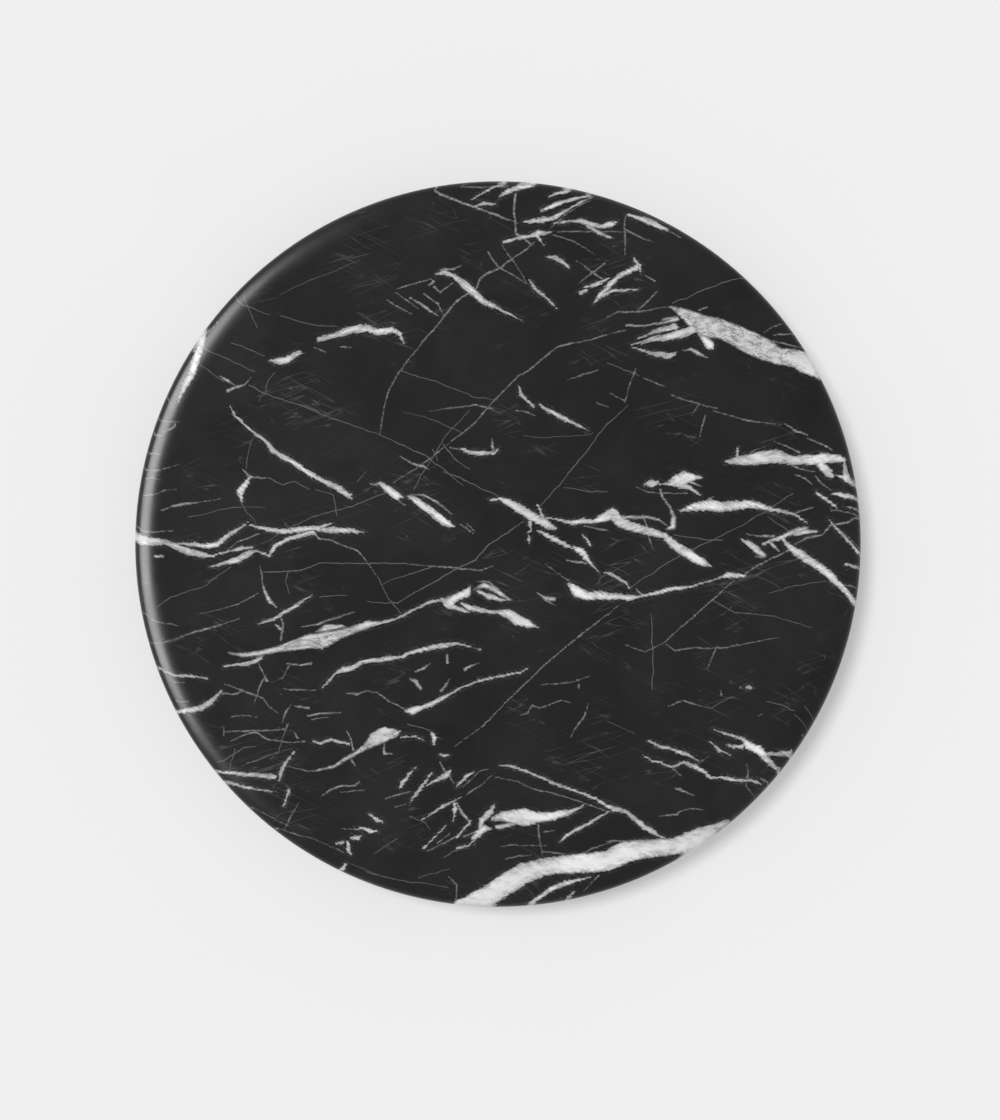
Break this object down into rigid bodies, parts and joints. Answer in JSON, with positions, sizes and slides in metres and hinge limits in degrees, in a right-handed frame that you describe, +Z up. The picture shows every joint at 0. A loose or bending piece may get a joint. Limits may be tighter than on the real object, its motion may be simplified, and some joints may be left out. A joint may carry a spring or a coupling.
{
  "type": "lazy susan turntable",
  "caption": "Round dark marble turntable top with a rounded edge, turning freely on a ball-bearing ring in a low brass base on rubber feet.",
  "frame": {"origin": "on the table under the centre of the disc, at the bottom of the feet", "axes": "+Z up along the spin axis, out of the serving surface; +X to the right of the stone's vein pattern seen from above; at rest a cover screw lies on +X"},
  "size_m": [0.3999, 0.4, 0.04],
  "materials": {
    "marble": "honed black marble with white and grey veins",
    "brass": "satin turned brass",
    "insert_brass": "machined",
    "gasket_rubber": "matt sheet",
    "plate_steel": "zinc plated sheet",
    "screw_steel": "bright zinc",
    "ball_steel": "polished",
    "race_aluminium": "turned, natural anodised",
    "cage_nylon": "natural nylon",
    "cover_paint": "black powder coat",
    "foot_rubber": "matt"
  },
  "bodies": {
    "base": {"base_housing": "brass", "bottom_cover": "cover_paint", "cover_screws": "screw_steel", "outer_race_lower": "race_aluminium", "outer_race_upper": "race_aluminium", "race_dowels": "screw_steel", "outer_race_screws": "screw_steel", "foot_pad_1": "foot_rubber", "foot_pad_2": "foot_rubber", "foot_pad_3": "foot_rubber", "foot_pad_4": "foot_rubber", "foot_pad_5": "foot_rubber", "foot_pad_6": "foot_rubber"},
    "cage": {"cage_segment_1": "cage_nylon", "cage_segment_2": "cage_nylon", "cage_segment_3": "cage_nylon", "bearing_balls": "ball_steel"},
    "turntable": {"marble_top": "marble", "threaded_inserts": "insert_brass", "plate_gasket": "gasket_rubber", "top_plate": "plate_steel", "plate_screws": "screw_steel", "inner_race": "race_aluminium", "inner_race_screws": "screw_steel"}
  },
  "joints": [
    {"name": "top_spin", "type": "hinge", "parent": "base", "child": "turntable", "pos_m": [0, 0, 0.013], "axis": [0, 0, 1], "continuous": true},
    {"name": "cage_spin", "type": "hinge", "parent": "base", "child": "cage", "pos_m": [0, 0, 0.013], "axis": [0, 0, 1], "continuous": true}
  ],
  "couplings": [
    {"joint": "cage_spin", "follows": "top_spin", "ratio": 0.4882}
  ]
}
